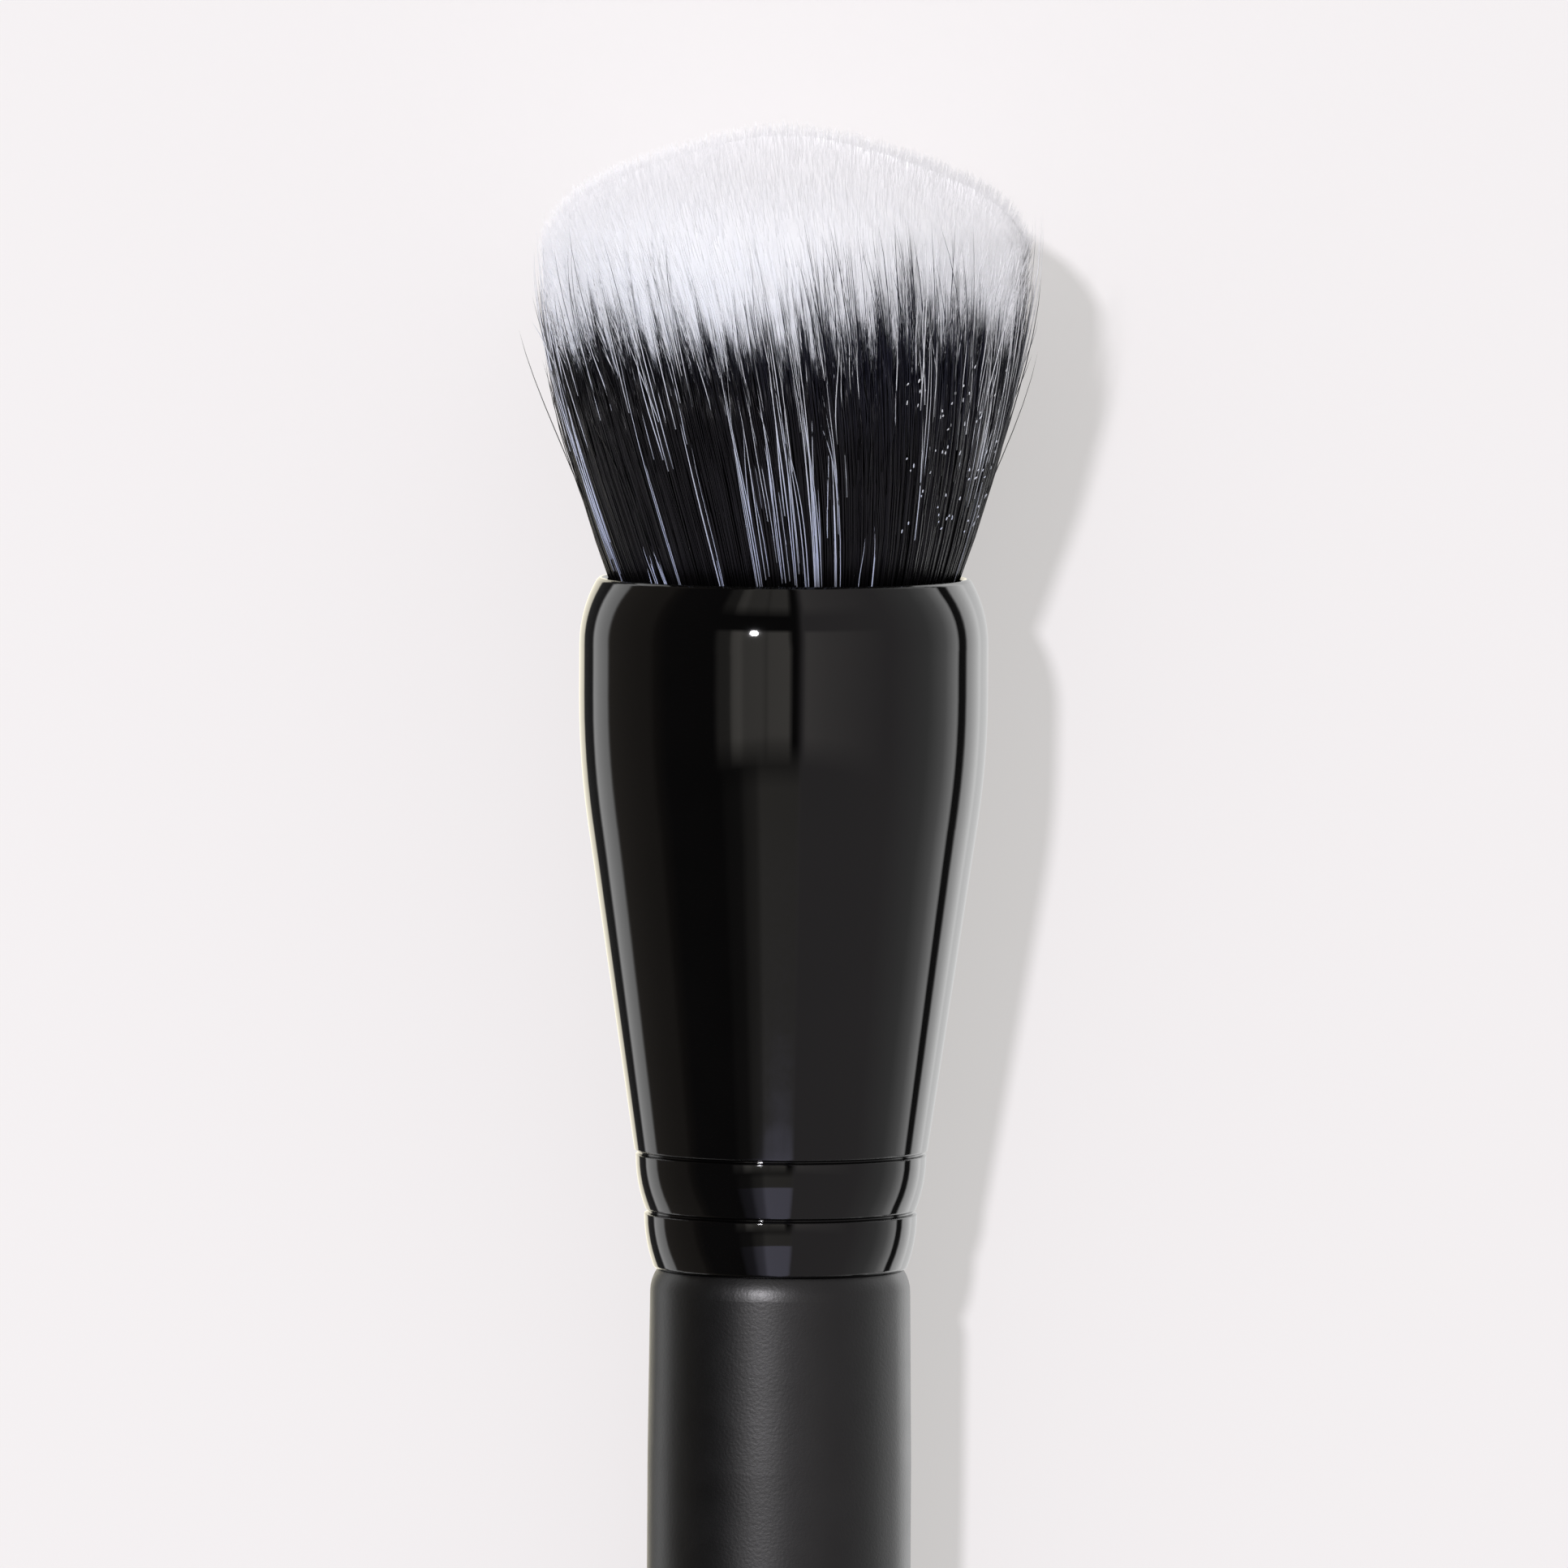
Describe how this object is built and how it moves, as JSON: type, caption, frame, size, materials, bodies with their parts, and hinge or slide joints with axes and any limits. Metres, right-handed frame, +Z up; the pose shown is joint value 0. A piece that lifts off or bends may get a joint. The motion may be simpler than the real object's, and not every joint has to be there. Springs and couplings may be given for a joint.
{
  "type": "stippling brush",
  "caption": "Round duo-fibre makeup brush: domed tuft of short black and long white fibres in a glossy ferrule on a matt black tapered handle, lying on its side.",
  "frame": {"origin": "on the surface the brush lies on, under the middle of its length", "axes": "+Y along the brush from butt to fibre tips, +Z up, +X to the right of someone who looks along +Y"},
  "size_m": [0.0314, 0.1748, 0.0299],
  "materials": {
    "handle_lacquer": "turned wood under matt, soft-touch black lacquer",
    "ferrule_gloss": "high-gloss black lacquer on spun aluminium",
    "adhesive": "hardened clear amber adhesive",
    "thread": "tightly wound thread",
    "black_fibre": "fine black synthetic fibres, slightly glossy",
    "white_fibre": "fine white synthetic fibres with soft tips"
  },
  "bodies": {
    "root": {"handle": "handle_lacquer", "ferrule": "ferrule_gloss", "tenon_glue": "adhesive", "root_glue": "adhesive", "binding_thread": "thread", "black_fibres": "black_fibre", "white_fibres": "white_fibre"}
  },
  "joints": []
}
